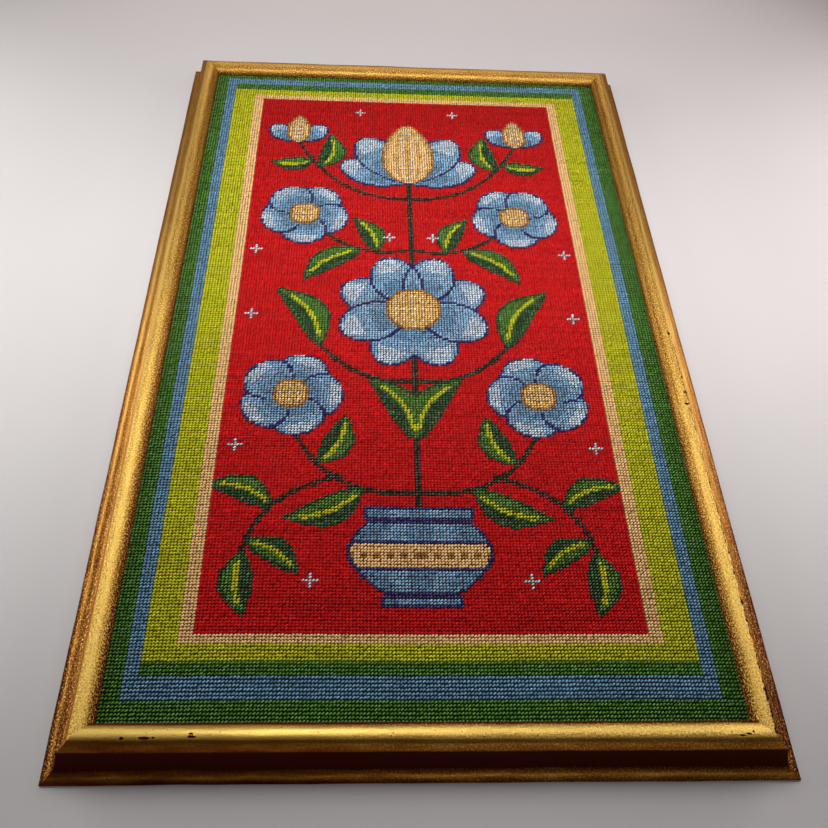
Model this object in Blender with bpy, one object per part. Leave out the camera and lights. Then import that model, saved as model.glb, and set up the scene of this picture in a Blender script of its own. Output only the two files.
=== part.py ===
"""A needlepoint canvas panel in the gilt wood frame that it is fitted in.

The panel lies face up on the frame's flat back. The origin is at the middle of that back,
+Y runs to the top of the picture and +Z comes out of its face. Lengths are in metres.

The frame is four lengths of one moulding, mitred at the corners. Its section is drawn with
OUT, the way out from the sight edge, and UP, the height over the back.
"""

import math

import bmesh
import bpy
from mathutils import Matrix, Vector

INCH = 0.0254
MM = 0.001

# Driving sizes of the needlepoint: the canvas has 12 threads to the inch
STITCH = INCH / 12
STITCHES_WIDE = 172.4
STITCHES_HIGH = 295.2
SIGHT_WIDTH = STITCH * STITCHES_WIDE
SIGHT_HEIGHT = STITCH * STITCHES_HIGH
PANEL_THICKNESS = 2.8 * MM
PANEL_FACE_UP = 16.0 * MM

# Driving sizes of the moulding
MOULDING_WIDTH = 28.2 * MM
MOULDING_HEIGHT = 24.0 * MM
RABBET_WIDTH = 6.0 * MM
FIT_GAP = 0.3 * MM
EDGE_GAP = 0.5 * MM
LIP_UNDERSIDE_UP = PANEL_FACE_UP + FIT_GAP

# The round hump beside the sight edge, a part of an ellipse
HUMP_HALF_WIDTH = 9.0 * MM
HUMP_RISE = MOULDING_HEIGHT - LIP_UNDERSIDE_UP
CREASE_OUT = 11.2 * MM

# The scoop behind the hump, and the small fillet that ends it
SCOOP_END_OUT = 16.6 * MM
SCOOP_END_UP = 20.6 * MM
SCOOP_SAG = 0.9 * MM
FILLET_OUT = 17.0 * MM
FILLET_TOP_UP = 20.4 * MM
FILLET_FOOT_UP = 19.4 * MM

# The steep outer flank, the cove under it and the thin foot
FLANK_FOOT_OUT = 21.3 * MM
FLANK_FOOT_UP = 4.6 * MM
FLANK_SAG = 0.5 * MM
COVE_SAG = 0.74 * MM
FOOT_HEIGHT = 1.2 * MM

HUMP_STEPS = 20
SCOOP_STEPS = 8
FLANK_STEPS = 5
COVE_STEPS = 8
SMOOTH_BELOW = math.radians(25)
WELD_DISTANCE = 0.00001

GILT_COLOR = (0.52, 0.31, 0.09, 1.0)
GILT_ROUGHNESS = 0.4
GILT_METALLIC = 0.85
WOOL_COLOR = (0.42, 0.015, 0.015, 1.0)
WOOL_ROUGHNESS = 0.95


def clear_scene():
    """Removes the objects of the scene that is open."""
    for obj in list(bpy.data.objects):
        bpy.data.objects.remove(obj, do_unlink=True)


def make_material(name, color, roughness, metallic):
    """Returns a plain material."""
    material = bpy.data.materials.new(name)
    material.use_nodes = True
    shader = material.node_tree.nodes["Principled BSDF"]
    shader.inputs["Base Color"].default_value = color
    shader.inputs["Roughness"].default_value = roughness
    shader.inputs["Metallic"].default_value = metallic
    return material


def ellipse_points(centre, radii, start, end, steps):
    """Returns points on an ellipse, both ends among them."""
    points = []
    for step in range(steps + 1):
        angle = start + (end - start) * step / steps
        out = centre[0] + radii[0] * math.cos(angle)
        up = centre[1] + radii[1] * math.sin(angle)
        points.append((out, up))
    return points


def hollow_points(start, end, sag, steps):
    """Returns points on a shallow round hollow that sags by sag under its chord."""
    first = Vector(start)
    chord = Vector(end) - first
    inward = Vector((chord.y, -chord.x)).normalized()
    points = []
    for step in range(steps + 1):
        part = step / steps
        depth = 4 * sag * part * (1 - part)
        points.append(tuple(first + chord * part + inward * depth))
    return points


def moulding_section():
    """Returns the outline of the moulding, from the sight edge over the top to the rabbet."""
    hump_centre = (HUMP_HALF_WIDTH, LIP_UNDERSIDE_UP)
    crease_angle = math.acos((CREASE_OUT - HUMP_HALF_WIDTH) / HUMP_HALF_WIDTH)
    hump = ellipse_points(hump_centre, (HUMP_HALF_WIDTH, HUMP_RISE), math.pi, crease_angle, HUMP_STEPS)
    scoop_end = (SCOOP_END_OUT, SCOOP_END_UP)
    scoop = hollow_points(hump[-1], scoop_end, SCOOP_SAG, SCOOP_STEPS)
    flank_top = (FILLET_OUT, FILLET_FOOT_UP)
    flank_foot = (FLANK_FOOT_OUT, FLANK_FOOT_UP)
    flank = hollow_points(flank_top, flank_foot, FLANK_SAG, FLANK_STEPS)
    cove = hollow_points(flank_foot, (MOULDING_WIDTH, FOOT_HEIGHT), COVE_SAG, COVE_STEPS)
    outline = hump + scoop[1:]
    outline.append((FILLET_OUT, FILLET_TOP_UP))
    outline += flank + cove[1:]
    outline.append((MOULDING_WIDTH, 0.0))
    outline.append((RABBET_WIDTH, 0.0))
    outline.append((RABBET_WIDTH, LIP_UNDERSIDE_UP))
    return outline


def moulding_stock(name, length):
    """Returns a bmesh of the moulding run along X, with OUT along +Y and UP along +Z."""
    section = moulding_section()
    curve = bpy.data.curves.new(name, "CURVE")
    curve.dimensions = "2D"
    curve.fill_mode = "BOTH"
    curve.extrude = length / 2
    spline = curve.splines.new("POLY")
    spline.points.add(len(section) - 1)
    spline.use_cyclic_u = True
    for point, (out, up) in zip(spline.points, section):
        point.co = (out, up, 0.0, 1.0)
    drawn = bpy.data.objects.new(name, curve)
    bpy.context.scene.collection.objects.link(drawn)
    graph = bpy.context.evaluated_depsgraph_get()
    solid = bpy.data.meshes.new_from_object(drawn.evaluated_get(graph))
    stock = bmesh.new()
    stock.from_mesh(solid)
    bpy.data.objects.remove(drawn)
    bpy.data.curves.remove(curve)
    bpy.data.meshes.remove(solid)
    bmesh.ops.remove_doubles(stock, verts=stock.verts, dist=WELD_DISTANCE)
    lay_along_x = Matrix(((0, 0, 1), (1, 0, 0), (0, 1, 0))).to_4x4()
    bmesh.ops.transform(stock, matrix=lay_along_x, verts=stock.verts)
    return stock


def saw_mitre(stock, end):
    """Saws the end at X = end at 45 degrees and closes the cut."""
    side = math.copysign(1.0, end)
    across = Vector((side, -1.0, 0.0)).normalized()
    place = Vector((end, 0.0, 0.0)) - across * FIT_GAP / 2
    everything = list(stock.verts) + list(stock.edges) + list(stock.faces)
    cut = bmesh.ops.bisect_plane(
        stock, geom=everything, plane_co=place, plane_no=across, clear_outer=True
    )
    rim = [item for item in cut["geom_cut"] if isinstance(item, bmesh.types.BMEdge)]
    bmesh.ops.holes_fill(stock, edges=rim, sides=0)


def rail_mesh(name, sight_length):
    """Returns the mesh of one rail, mitred at both ends, with an empty material slot."""
    stock = moulding_stock(name, sight_length + 3 * MOULDING_WIDTH)
    for side in (-1, 1):
        saw_mitre(stock, side * sight_length / 2)
    bmesh.ops.recalc_face_normals(stock, faces=stock.faces)
    mesh = bpy.data.meshes.new(name)
    stock.to_mesh(mesh)
    stock.free()
    mesh.shade_smooth()
    mesh.set_sharp_from_angle(angle=SMOOTH_BELOW)
    mesh.materials.append(None)
    return mesh


def build_frame(collection):
    """Makes the four rails round the sight opening and parents them to one empty."""
    holder = bpy.data.objects.new("frame_rails", None)
    collection.objects.link(holder)
    short_mesh = rail_mesh("short_rail", SIGHT_WIDTH)
    long_mesh = rail_mesh("long_rail", SIGHT_HEIGHT)
    half_wide = SIGHT_WIDTH / 2
    half_high = SIGHT_HEIGHT / 2
    quarter = math.pi / 2
    rails = (
        ("frame_rail_top", short_mesh, (0.0, half_high), 0.0),
        ("frame_rail_left", long_mesh, (-half_wide, 0.0), quarter),
        ("frame_rail_bottom", short_mesh, (0.0, -half_high), 2 * quarter),
        ("frame_rail_right", long_mesh, (half_wide, 0.0), 3 * quarter),
    )
    for name, mesh, (x, y), turn in rails:
        rail = bpy.data.objects.new(name, mesh)
        rail.location = (x, y, 0.0)
        rail.rotation_euler = (0.0, 0.0, turn)
        rail.parent = holder
        rail.material_slots[0].link = "OBJECT"
        rail.material_slots[0].material = make_material(
            name + "_gilt", GILT_COLOR, GILT_ROUGHNESS, GILT_METALLIC
        )
        collection.objects.link(rail)


def build_panel(collection):
    """Makes the stitched canvas, one flat sheet whose edges lie in the frame's rabbet."""
    margin = 2 * (RABBET_WIDTH - EDGE_GAP)
    size = (SIGHT_WIDTH + margin, SIGHT_HEIGHT + margin, PANEL_THICKNESS)
    sheet = bmesh.new()
    bmesh.ops.create_cube(sheet, size=1.0)
    bmesh.ops.scale(sheet, vec=size, verts=sheet.verts)
    mesh = bpy.data.meshes.new("needlepoint_panel")
    sheet.to_mesh(mesh)
    sheet.free()
    panel = bpy.data.objects.new("needlepoint_panel", mesh)
    panel.location = (0.0, 0.0, PANEL_FACE_UP - PANEL_THICKNESS / 2)
    panel.data.materials.append(make_material("wool_stitches", WOOL_COLOR, WOOL_ROUGHNESS, 0.0))
    collection.objects.link(panel)


def main():
    """Builds the framed needlepoint panel."""
    clear_scene()
    collection = bpy.data.collections.new("framed_needlepoint_panel")
    bpy.context.scene.collection.children.link(collection)
    build_frame(collection)
    build_panel(collection)
    bpy.context.view_layer.update()


main()
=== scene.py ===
"""A needlepoint panel, stitched in wool on 12 mesh canvas, in its worn gilt wood frame.

Every stitch of the face is a modelled grain of yarn, and its yarn comes from a chart that is
drawn by formula: a striped border round a red field with an urn of flowers.
"""
import math
from collections import namedtuple

import bmesh
import bpy
import numpy as np
from bpy.props import FloatProperty, FloatVectorProperty, IntProperty, PointerProperty
from mathutils import Matrix, Vector


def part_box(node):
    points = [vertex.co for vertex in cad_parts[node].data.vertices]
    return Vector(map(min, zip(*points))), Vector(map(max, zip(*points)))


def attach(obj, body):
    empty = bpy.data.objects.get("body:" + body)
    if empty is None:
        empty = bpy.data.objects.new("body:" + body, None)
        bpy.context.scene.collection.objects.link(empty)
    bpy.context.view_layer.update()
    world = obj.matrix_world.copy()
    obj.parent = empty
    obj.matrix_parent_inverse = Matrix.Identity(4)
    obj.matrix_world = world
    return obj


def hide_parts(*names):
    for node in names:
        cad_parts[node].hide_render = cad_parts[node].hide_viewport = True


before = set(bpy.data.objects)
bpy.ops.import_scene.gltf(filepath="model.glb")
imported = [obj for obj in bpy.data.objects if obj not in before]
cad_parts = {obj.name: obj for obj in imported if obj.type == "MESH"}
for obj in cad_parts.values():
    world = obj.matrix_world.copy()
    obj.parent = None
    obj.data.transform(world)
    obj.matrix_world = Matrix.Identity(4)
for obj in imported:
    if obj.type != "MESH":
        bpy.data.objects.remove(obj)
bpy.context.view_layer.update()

bl_info = {
    "name": "Framed needlepoint panel",
    "version": (1, 0, 0),
    "blender": (4, 5, 0),
    "location": "View3D > Sidebar > Needlepoint",
    "description": "Stitches a wool needlepoint panel and builds the gilt frame round it",
    "category": "Add Mesh",
}

MM = 0.001
PANEL_LOW, PANEL_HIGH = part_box("needlepoint_panel")
LEFT_RAIL_LOW, LEFT_RAIL_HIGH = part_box("frame_rail_left")
HALF_WIDE = -LEFT_RAIL_HIGH.x
HALF_HIGH = -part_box("frame_rail_bottom")[1].y
MOULDING_WIDTH = LEFT_RAIL_HIGH.x - LEFT_RAIL_LOW.x
MOULDING_HEIGHT = LEFT_RAIL_HIGH.z
FACE_UP = PANEL_HIGH.z

# The canvas, counted in stitches. The outer stripe runs a little way under the frame's lip
STITCHES_WIDE = 172.4
STITCH = 2 * HALF_WIDE / STITCHES_WIDE
HIDDEN_STITCHES = 2.2
LEFT_EDGE = -HALF_WIDE - HIDDEN_STITCHES * STITCH
BOTTOM_EDGE = -HALF_HIGH - HIDDEN_STITCHES * STITCH
FIELD_COLS = 128
FIELD_ROWS = 255
BANDS = 5
BAND_NAMES = ("bottom", "lower", "middle", "upper", "top")
WOOL_LENGTH = 21

# How far rows have drifted up the canvas, in stitches, by their row, and how far the top sags
ROW_DRIFT = (
    (0, 0.0), (8, 0.35), (14, 0.95), (23, 1.05), (26, 0.85), (60, 0.35), (150, 0.0), (281, -0.45),
    (300, -0.50),
)
TOP_SAG = 0.35

# One stitch, and the canvas under it. Reaches are shares of the pitch
GROUND_UP = FACE_UP - 1.30 * MM
STITCH_FOOT = GROUND_UP - 0.10 * MM
STITCH_REACH = 0.66
STITCH_TURN = math.radians(-50)
RING_REACH = 1.12
CANVAS_SLACK = 0.12 * MM
# Painted shade at the roots of the stitches: the share of light left there for most yarns, and for the
# yarns that keep more. The red's roots are painted lighter than its tops.
GAP_LIGHT = 0.10
PALE_GAPS = {"red": 1.5, "cream": 0.40, "lime": 0.40}
# Painted highlight on the tips of the stitches, by the light left at their roots
PAINTED_TIP_HIGHLIGHT = ((0.10, 0.36), (0.40, 0.14), (1.0, 0.09))
# Painted shade: the share of its colour that the red keeps at the far end of the panel
FAR_RED_SHADE = 0.70
PLY_SLANT = math.radians(38)
PLY_PITCH = 0.55 * MM
HAIR_PITCH = 0.12 * MM
WAVE_PERIOD = 0.32

YARNS = (
    "red", "cream", "lime", "green", "blue", "navy", "sky", "pale",
    "gold", "ochre", "blush", "shade", "stem",
)
YARN = {name: number for number, name in enumerate(YARNS)}

# Stripes from the field outwards, with the stitches that each one has on every side
Stripe = namedtuple("Stripe", "yarn left right bottom top")
STRIPES = (
    Stripe("cream", 4, 4, 3, 3),
    Stripe("lime", 9, 9, 5, 4),
    Stripe("green", 0, 0, 4, 4),
    Stripe("blue", 4, 4, 6, 4),
    Stripe("green", 7, 7, 8, 4),
)

# The flowers in the field, for its right half. The left half mirrors it
Stalk = namedtuple("Stalk", "start pull end")
STALKS = (
    Stalk((0, 42), (0, 120), (0, 200)),
    Stalk((0, 47), (34, 44), (43, 80)),
    Stalk((0, 92), (20, 90), (33, 108)),
    Stalk((0, 158), (22, 150), (42, 176)),
    Stalk((0, 188), (30, 186), (47, 226)),
    Stalk((25, 53), (50, 46), (53, 26)),
)
Leaf = namedtuple("Leaf", "stalk part off length width bend")
LEAVES = (
    Leaf(0, 0.16, -32, 31, 12, 0.14),
    Leaf(1, 0.28, -40, 27, 11, -0.12),
    Leaf(1, 0.60, 66, 22, 10, 0.12),
    Leaf(5, 0.52, 66, 22, 10, 0.12),
    Leaf(5, 1.00, -14, 21, 10, 0.10),
    Leaf(5, 0.90, -70, 20, 9, -0.12),
    Leaf(2, 1.00, 4, 33, 13, 0.14),
    Leaf(3, 0.30, 58, 22, 10, 0.12),
    Leaf(3, 0.45, -58, 28, 11, 0.12),
    Leaf(4, 0.80, -62, 18, 9, -0.12),
    Leaf(4, 0.72, 44, 24, 11, 0.14),
)
Bloom = namedtuple("Bloom", "across up turn petals length width disc")
BLOOMS = (
    Bloom(42, 86, 110, 5, 18.0, 19.0, 6.5),
    Bloom(42, 178, 126, 5, 18.0, 19.0, 6.5),
    Bloom(0, 126, 22.5, 8, 29.0, 19.5, 10.5),
)
Petal = namedtuple("Petal", "turn length width")
Crown = namedtuple("Crown", "across up seed petals")
CROWNS = (
    Crown(0, 198, Petal(90, 40, 23), (
        Petal(24, 31, 18), Petal(156, 31, 18), Petal(56, 36, 20), Petal(124, 36, 20),
    )),
    Crown(47, 224, Petal(90, 19, 11), (Petal(45, 17, 11), Petal(135, 17, 11))),
)
URN_BOTTOM = 8
URN_TOP = 42
STARS = (
    (58, 122), (32, 16), (58, 64), (8, 164), (20, 246), (59, 156),
)

RAIL_NODES = ("frame_rail_top", "frame_rail_left", "frame_rail_bottom", "frame_rail_right")

# The moulding's section, as its solids have it: OUT from the sight edge and UP from the back
LIP_UNDERSIDE_UP = FACE_UP + 0.3 * MM
RABBET_WIDTH = 6.0 * MM
HUMP_HALF_WIDTH = 9.0 * MM
CREASE_OUT = 11.2 * MM
SCOOP_END = (16.6 * MM, 20.6 * MM)
SCOOP_SAG = 0.9 * MM
FILLET_TOP = (17.0 * MM, 20.4 * MM)
FILLET_FOOT = (17.0 * MM, 19.4 * MM)
FLANK_FOOT = (21.3 * MM, 4.6 * MM)
FLANK_SAG = 0.5 * MM
COVE_SAG = 0.74 * MM
FOOT_HEIGHT = 1.2 * MM
EASED = 0.25 * MM
MITRE_GAP = 0.12 * MM

# How much leaf is left on the best kept rail, by the way round the section from the sight edge. Its
# peak on the hump's crest is partly leaf left and partly a painted highlight.
GILT_GIRTH = 48 * MM
LEAF_COVER_AND_HIGHLIGHT = (
    (0.0, 0.30), (2.0, 0.34), (3.5, 0.46), (5.0, 0.56), (8.0, 0.88), (9.5, 1.08), (11.5, 1.18),
    (13.2, 1.02), (15.0, 0.92), (17.0, 0.76), (19.0, 0.64), (21.0, 0.56), (22.2, 0.50),
    (23.3, 0.12), (25.0, 0.02), (37.5, 0.00), (39.5, 0.40), (43.0, 0.74), (46.4, 0.36), (48.0, 0.30),
)
# The share of it left inside, on and outside the hump, and how flecked it is, by the way along. The
# shares are partly wear and partly painted light and shade that lift or lower the leaf rail by rail, as
# on the near rail's shaded sight edge and the top rail's lit one.
RAIL_LENGTH = 2.0
WearAndLight = namedtuple("WearAndLight", "at sight hump outside flecks")
WEAR_AND_LIGHT = (
    WearAndLight(-0.20, 1.45, 0.77, 0.68, 1.5),
    WearAndLight(0.20, 1.65, 0.79, 0.68, 1.5),
    WearAndLight(1.68, 0.95, 1.16, 0.72, 2.5),
    WearAndLight(1.85, 1.05, 1.02, 0.86, 2.1),
    WearAndLight(2.05, 1.15, 0.77, 1.20, 1.4),
    WearAndLight(2.32, 1.25, 0.79, 0.96, 1.3),
    WearAndLight(3.80, 0.05, 1.07, 0.84, 1.4),
    WearAndLight(3.97, 0.05, 1.05, 0.82, 1.3),
    WearAndLight(4.08, 0.05, 1.08, 0.62, 0.4),
    WearAndLight(4.20, 0.05, 1.06, 0.56, 0.4),
    WearAndLight(5.68, 1.40, 0.69, 0.92, 1.3),
    WearAndLight(5.85, 1.35, 0.73, 1.08, 1.4),
    WearAndLight(6.02, 1.35, 0.73, 1.12, 1.5),
    WearAndLight(6.24, 1.20, 1.06, 0.70, 2.2),
    WearAndLight(6.32, 1.05, 1.10, 0.50, 2.4),
)
# Pale lines along edges of the moulding, by the way round and the way along
Edge = namedtuple("Edge", "girth half start end")
PALE_EDGE_LINES = (
    Edge(22.40, 0.30, 5.6, 6.4),
    Edge(47.10, 0.45, 1.6, 2.4),
    Edge(47.10, 0.45, 3.7, 4.06),
)

# The crack along the right rail's crease, from its start to the mitre
CRACK_TOP = -24 * MM
CRACK_END = -322 * MM
CRACK_ACROSS = HALF_WIDE + 10.6 * MM
CRACK_WAVER = 1.6 * MM
CRACK_JAG = 4.0 * MM

# Chips in the gilding: place on the face, and half sizes across X and Y
Chip = namedtuple("Chip", "x y half_x half_y")
CHIPS = (
    Chip(-165.0, -322.7, 1.4, 0.8),
    Chip(-153.0, -322.6, 3.6, 0.9),
    Chip(-148.3, -322.4, 0.9, 0.6),
    Chip(-127.8, -322.0, 2.6, 0.8),
    Chip(-128.5, -320.4, 1.2, 0.6),
    Chip(173.5, -322.6, 2.0, 0.6),
    Chip(177.0, -321.8, 1.6, 0.7),
    Chip(180.0, -320.6, 0.8, 0.8),
    Chip(193.0, -80.5, 1.5, 1.2),
    Chip(191.5, -91.0, 1.7, 1.0),
    Chip(191.8, -24.0, 1.0, 1.6),
)

# The gilding's colours, by their socket, and the sizes of its textures
FINISHES = {
    "Leaf": "leaf", "Dull Leaf": "dull_leaf", "Bole": "bole",
    "Pits": "pits", "Gesso": "pale_line", "Wood": "wood",
}
STREAK_SIZE = 3.2 * MM
GRAIN_SIZE = 0.7 * MM
STIPPLE_SIZE = 1.15 * MM
SPECK_SPACING = 3.6 * MM
LINE_PATCH_SIZE = 9 * MM
WOOD_GRAIN_SIZE = 1.2 * MM
SMOOTH_BELOW = math.radians(30)
DENT_SEED = 11

# The soft lights: the setting of each one's power, its place, what it faces, its size, its
# spread in degrees and its tint
WHITE = (1.0, 1.0, 1.0)
PINK = (1.0, 0.88, 0.87)
BLUSH = (1.0, 0.955, 0.975)
Light = namedtuple("Light", "name power place aim size spread tint")
LIGHTS = (
    Light("key", "key_power", (0, 0.07, 0.45), (0, 0.07, 0), (0.40, 0.28), 120, WHITE),
    Light("front", "front_power", (0, -0.62, 0.50), (0, -0.2, 0), (0.80, 0.30), 180, WHITE),
    Light("back", "back_power", (0, 0.88, 0.45), (0, 0.62, 0), (0.90, 0.25), 66, PINK),
    Light("side_left", "left_power", (-0.60, 0.08, 0.25), (0, 0.08, 0), (0.6, 0.4), 180, WHITE),
    Light("side_right", "right_power", (0.60, 0.08, 0.25), (0, 0.08, 0), (0.6, 0.4), 180, BLUSH),
)

# The camera that took the photograph: its place, its heading towards +X and its roll
CAMERA_PLACE = (-0.03861, -0.46861, 0.50850)
CAMERA_HEADING = math.radians(4.741)
CAMERA_DOWN = math.radians(53.02)
CAMERA_ROLL = math.radians(4.55)
CAMERA_SHIFT = (0.00902, 0.00196)


def color_setting(name, description, color):
    """Returns a colour property."""
    return FloatVectorProperty(
        name=name, description=description, subtype="COLOR", size=3, min=0, max=1, default=color
    )


def number_setting(name, description, default, unit="NONE"):
    """Returns a number's property."""
    return FloatProperty(name=name, description=description, default=default, unit=unit)


class NeedlepointYarns(bpy.types.PropertyGroup):
    """The yarns of the panel and the size of its stitches."""

    rise: number_setting("Stitch rise", "Height of a stitch over the canvas", 1.38 * MM, "LENGTH")
    plumpness: number_setting("Plumpness", "Width of a stitch, as a share of the pitch", 0.78)
    unevenness: number_setting("Unevenness", "How far stitches stray, as a share of the pitch", 0.05)
    seed: IntProperty(name="Seed", description="Start of the random draws", default=7)
    red: color_setting("Red", "Ground of the field", (0.44, 0.0040, 0.0040))
    cream: color_setting("Cream", "Inner stripe", (1.0, 0.62, 0.26))
    lime: color_setting("Lime", "Wide stripe and midribs", (0.58, 0.58, 0.010))
    green: color_setting("Green", "Outer stripe and leaves", (0.080, 0.235, 0.018))
    blue: color_setting("Blue", "Narrow stripe and petals", (0.160, 0.335, 0.495))
    navy: color_setting("Navy", "Outlines of the flowers", (0.020, 0.030, 0.16))
    sky: color_setting("Sky", "Middle of the petals", (0.27, 0.48, 0.68))
    pale: color_setting("Pale blue", "Tips of the petals", (0.62, 0.74, 0.84))
    gold: color_setting("Gold", "Centres of the flowers", (0.86, 0.52, 0.15))
    ochre: color_setting("Ochre", "Edges of the centres", (0.48, 0.20, 0.03))
    blush: color_setting("Blush", "Dots in the centres", (0.90, 0.74, 0.58))
    shade: color_setting("Dark green", "Shaded half of the leaves", (0.012, 0.085, 0.018))
    stem: color_setting("Stem", "Stalks", (0.035, 0.032, 0.010))
    gaps: number_setting("Gaps", "Light that is left on the wool between the stitches", 0.12)


class NeedlepointGilding(bpy.types.PropertyGroup):
    """The finish and the fineness of the frame."""

    step: number_setting("Step", "Length of a face along a rail", 2.0 * MM, "LENGTH")
    dents: number_setting("Dents", "Depth of the wood's unevenness", 0.12 * MM, "LENGTH")
    leaf: color_setting("Leaf", "Bright rubbed leaf", (1.0, 0.665, 0.16))
    dull_leaf: color_setting("Dull leaf", "Leaf toned down with size", (0.35, 0.126, 0.012))
    bole: color_setting("Bole", "Red-brown ground under the leaf", (0.066, 0.0060, 0.0020))
    pits: color_setting("Pits", "Dark specks and chips", (0.026, 0.004, 0.002))
    # The colour of the pale lines along the fillet's edge and the foot
    pale_line: color_setting("Gesso", "Pale ground at the rubbed edges", (0.55, 0.31, 0.22))
    wood: color_setting("Wood", "Bare wood of the back and the rabbet", (0.36, 0.22, 0.12))


class NeedlepointStudio(bpy.types.PropertyGroup):
    """The camera, the lights and the floor."""

    lens: number_setting("Lens", "Focal length in mm", 38.19)
    key_power: number_setting("Key", "Power of the overhead light", 1.18)
    front_power: number_setting("Front", "Power of the near light", 0.52)
    back_power: number_setting("Back", "Power of the far light", 0.75)
    left_power: number_setting("Left", "Power of the left light", 2.60)
    right_power: number_setting("Right", "Power of the right light", 2.60)
    surround: number_setting("Surround", "Strength of the world", 0.01)
    floor: color_setting("Floor", "Pale studio floor", (0.675, 0.640, 0.628))


# Chart: which yarn each stitch has


def from_place(across, up, place, turn):
    """Returns how far each stitch lies along and beside a line from place at turn degrees."""
    cosine = math.cos(math.radians(turn))
    sine = math.sin(math.radians(turn))
    right = across - place[0]
    above = up - place[1]
    return right * cosine + above * sine, above * cosine - right * sine


def on_stalk(stalk, part):
    """Returns the place on a curved stalk, and the way it runs there in degrees."""
    rest = 1 - part
    place = []
    way = []
    for start, pull, end in zip(*stalk):
        place.append(rest * rest * start + 2 * part * rest * pull + part * part * end)
        way.append(rest * (pull - start) + part * (end - pull))
    return place, math.degrees(math.atan2(way[1], way[0]))


def chart_stalk(chart, across, up, stalk):
    """Draws a stalk one or two stitches wide."""
    steps = 160
    for step in range(steps + 1):
        (x, y), _ = on_stalk(stalk, step / steps)
        chart[np.hypot(across - x, up - y) < 0.85] = YARN["stem"]


def chart_leaf(chart, across, up, leaf):
    """Draws a bent leaf with a lime midrib and a shaded half."""
    place, turn = on_stalk(STALKS[leaf.stalk], leaf.part)
    along, beside = from_place(across, up, place, turn + leaf.off)
    part = np.clip(along / leaf.length, 0, 1)
    beside = beside - leaf.bend * leaf.length * np.sin(math.pi * part)
    half = leaf.width / 2 * np.sin(math.pi * part**0.85) ** 0.85
    inside = (along >= 0) & (along <= leaf.length) & (np.abs(beside) < half)
    under = (beside < -0.1 * leaf.width) & (np.abs(beside) < half * 0.75)
    rim = np.abs(beside) > half - 1.15
    rib = (np.abs(beside) < 0.75) & (part > 0.12) & (part < 0.82)
    chart[inside] = YARN["green"]
    chart[inside & (under | rim)] = YARN["shade"]
    chart[inside & rib] = YARN["lime"]


def chart_petal(chart, across, up, place, petal):
    """Draws a round-tipped petal, dark at its root and pale at its tip."""
    along, beside = from_place(across, up, place, petal.turn)
    part = along / petal.length
    beside = np.abs(beside)
    half = petal.width / 2 * np.sin(math.pi * np.clip(part, 0, 1) ** 1.25) ** 0.55
    inside = (along > 0) & (along < petal.length) & (beside < half)
    chart[inside] = YARN["sky"]
    chart[inside & (part < 0.55) & (beside < half * (1.1 - part))] = YARN["blue"]
    chart[inside & (part > 0.72) & (beside < half * 0.62)] = YARN["pale"]
    chart[inside & ((beside > half - 1.1) | (along > petal.length - 1.1))] = YARN["navy"]


def chart_bloom(chart, across, up, bloom):
    """Draws a ring of petals round a dotted gold disc."""
    place = (bloom.across, bloom.up)
    for number in range(bloom.petals):
        turn = bloom.turn + 360 * number / bloom.petals
        chart_petal(chart, across, up, place, Petal(turn, bloom.length, bloom.width))
    away = np.hypot(across - bloom.across, up - bloom.up)
    dots = (np.floor(across - bloom.across) % 3 == 0) & (np.floor(up - bloom.up) % 3 == 0)
    chart[away < bloom.disc] = YARN["gold"]
    chart[dots & (away < bloom.disc - 1.4)] = YARN["blush"]
    chart[(away < bloom.disc) & (away > bloom.disc - 1.2)] = YARN["ochre"]


def chart_crown(chart, across, up, crown):
    """Draws a flower seen from the side, with a ribbed seed head."""
    place = (crown.across, crown.up)
    seed = crown.seed
    for petal in crown.petals:
        chart_petal(chart, across, up, place, petal)
    along, beside = from_place(across, up, place, seed.turn)
    part = np.clip(along / seed.length, 0, 1)
    beside = np.abs(beside)
    half = seed.width / 2 * np.sin(math.pi * part**0.8) ** 0.6
    inside = (along > 0) & (along < seed.length) & (beside < half)
    chart[inside] = YARN["cream"]
    for rib in (0.0, 0.42, 0.82):
        chart[inside & (np.abs(beside - rib * half) < 0.75)] = YARN["gold"]
    dots = (np.floor(along) % 3 == 0) & (np.abs(beside - 0.21 * half) < 1)
    chart[inside & dots] = YARN["blush"]
    chart[inside & (beside > half - 1.1)] = YARN["ochre"]


def chart_urn(chart, across, up):
    """Draws the urn that the trunk grows from."""
    part = np.clip((up - URN_BOTTOM) / (URN_TOP - URN_BOTTOM), 0, 1)
    half = 8 + 14 * np.sin(math.pi * np.clip(part * 1.12 - 0.1, 0, 1)) ** 0.8
    half = np.where(part > 0.86, 17, half)
    half = np.where(part < 0.12, 12, half)
    inside = (up > URN_BOTTOM) & (up < URN_TOP) & (across < half)
    belt = np.abs(part - 0.5)
    chart[inside] = YARN["blue"]
    chart[inside & (across < half * 0.55) & (across > half * 0.2)] = YARN["sky"]
    chart[inside & (belt < 0.11)] = YARN["cream"]
    chart[inside & (belt < 0.04) & (np.floor(across) % 4 < 2)] = YARN["ochre"]
    lines = (np.abs(belt - 0.13) < 0.02) | (part > 0.965) | (part < 0.035)
    lines |= (np.abs(part - 0.86) < 0.03) | (np.abs(part - 0.12) < 0.03)
    chart[inside & (lines | (across > half - 1.2))] = YARN["navy"]


def chart_star(chart, across, up, place):
    """Draws a small cross-shaped star with a gold middle."""
    right = np.abs(across - place[0] - 0.5)
    above = np.abs(up - place[1] - 0.5)
    chart[(np.minimum(right, above) < 0.6) & (np.maximum(right, above) < 3)] = YARN["pale"]
    chart[np.maximum(right, above) < 0.6] = YARN["gold"]


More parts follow.
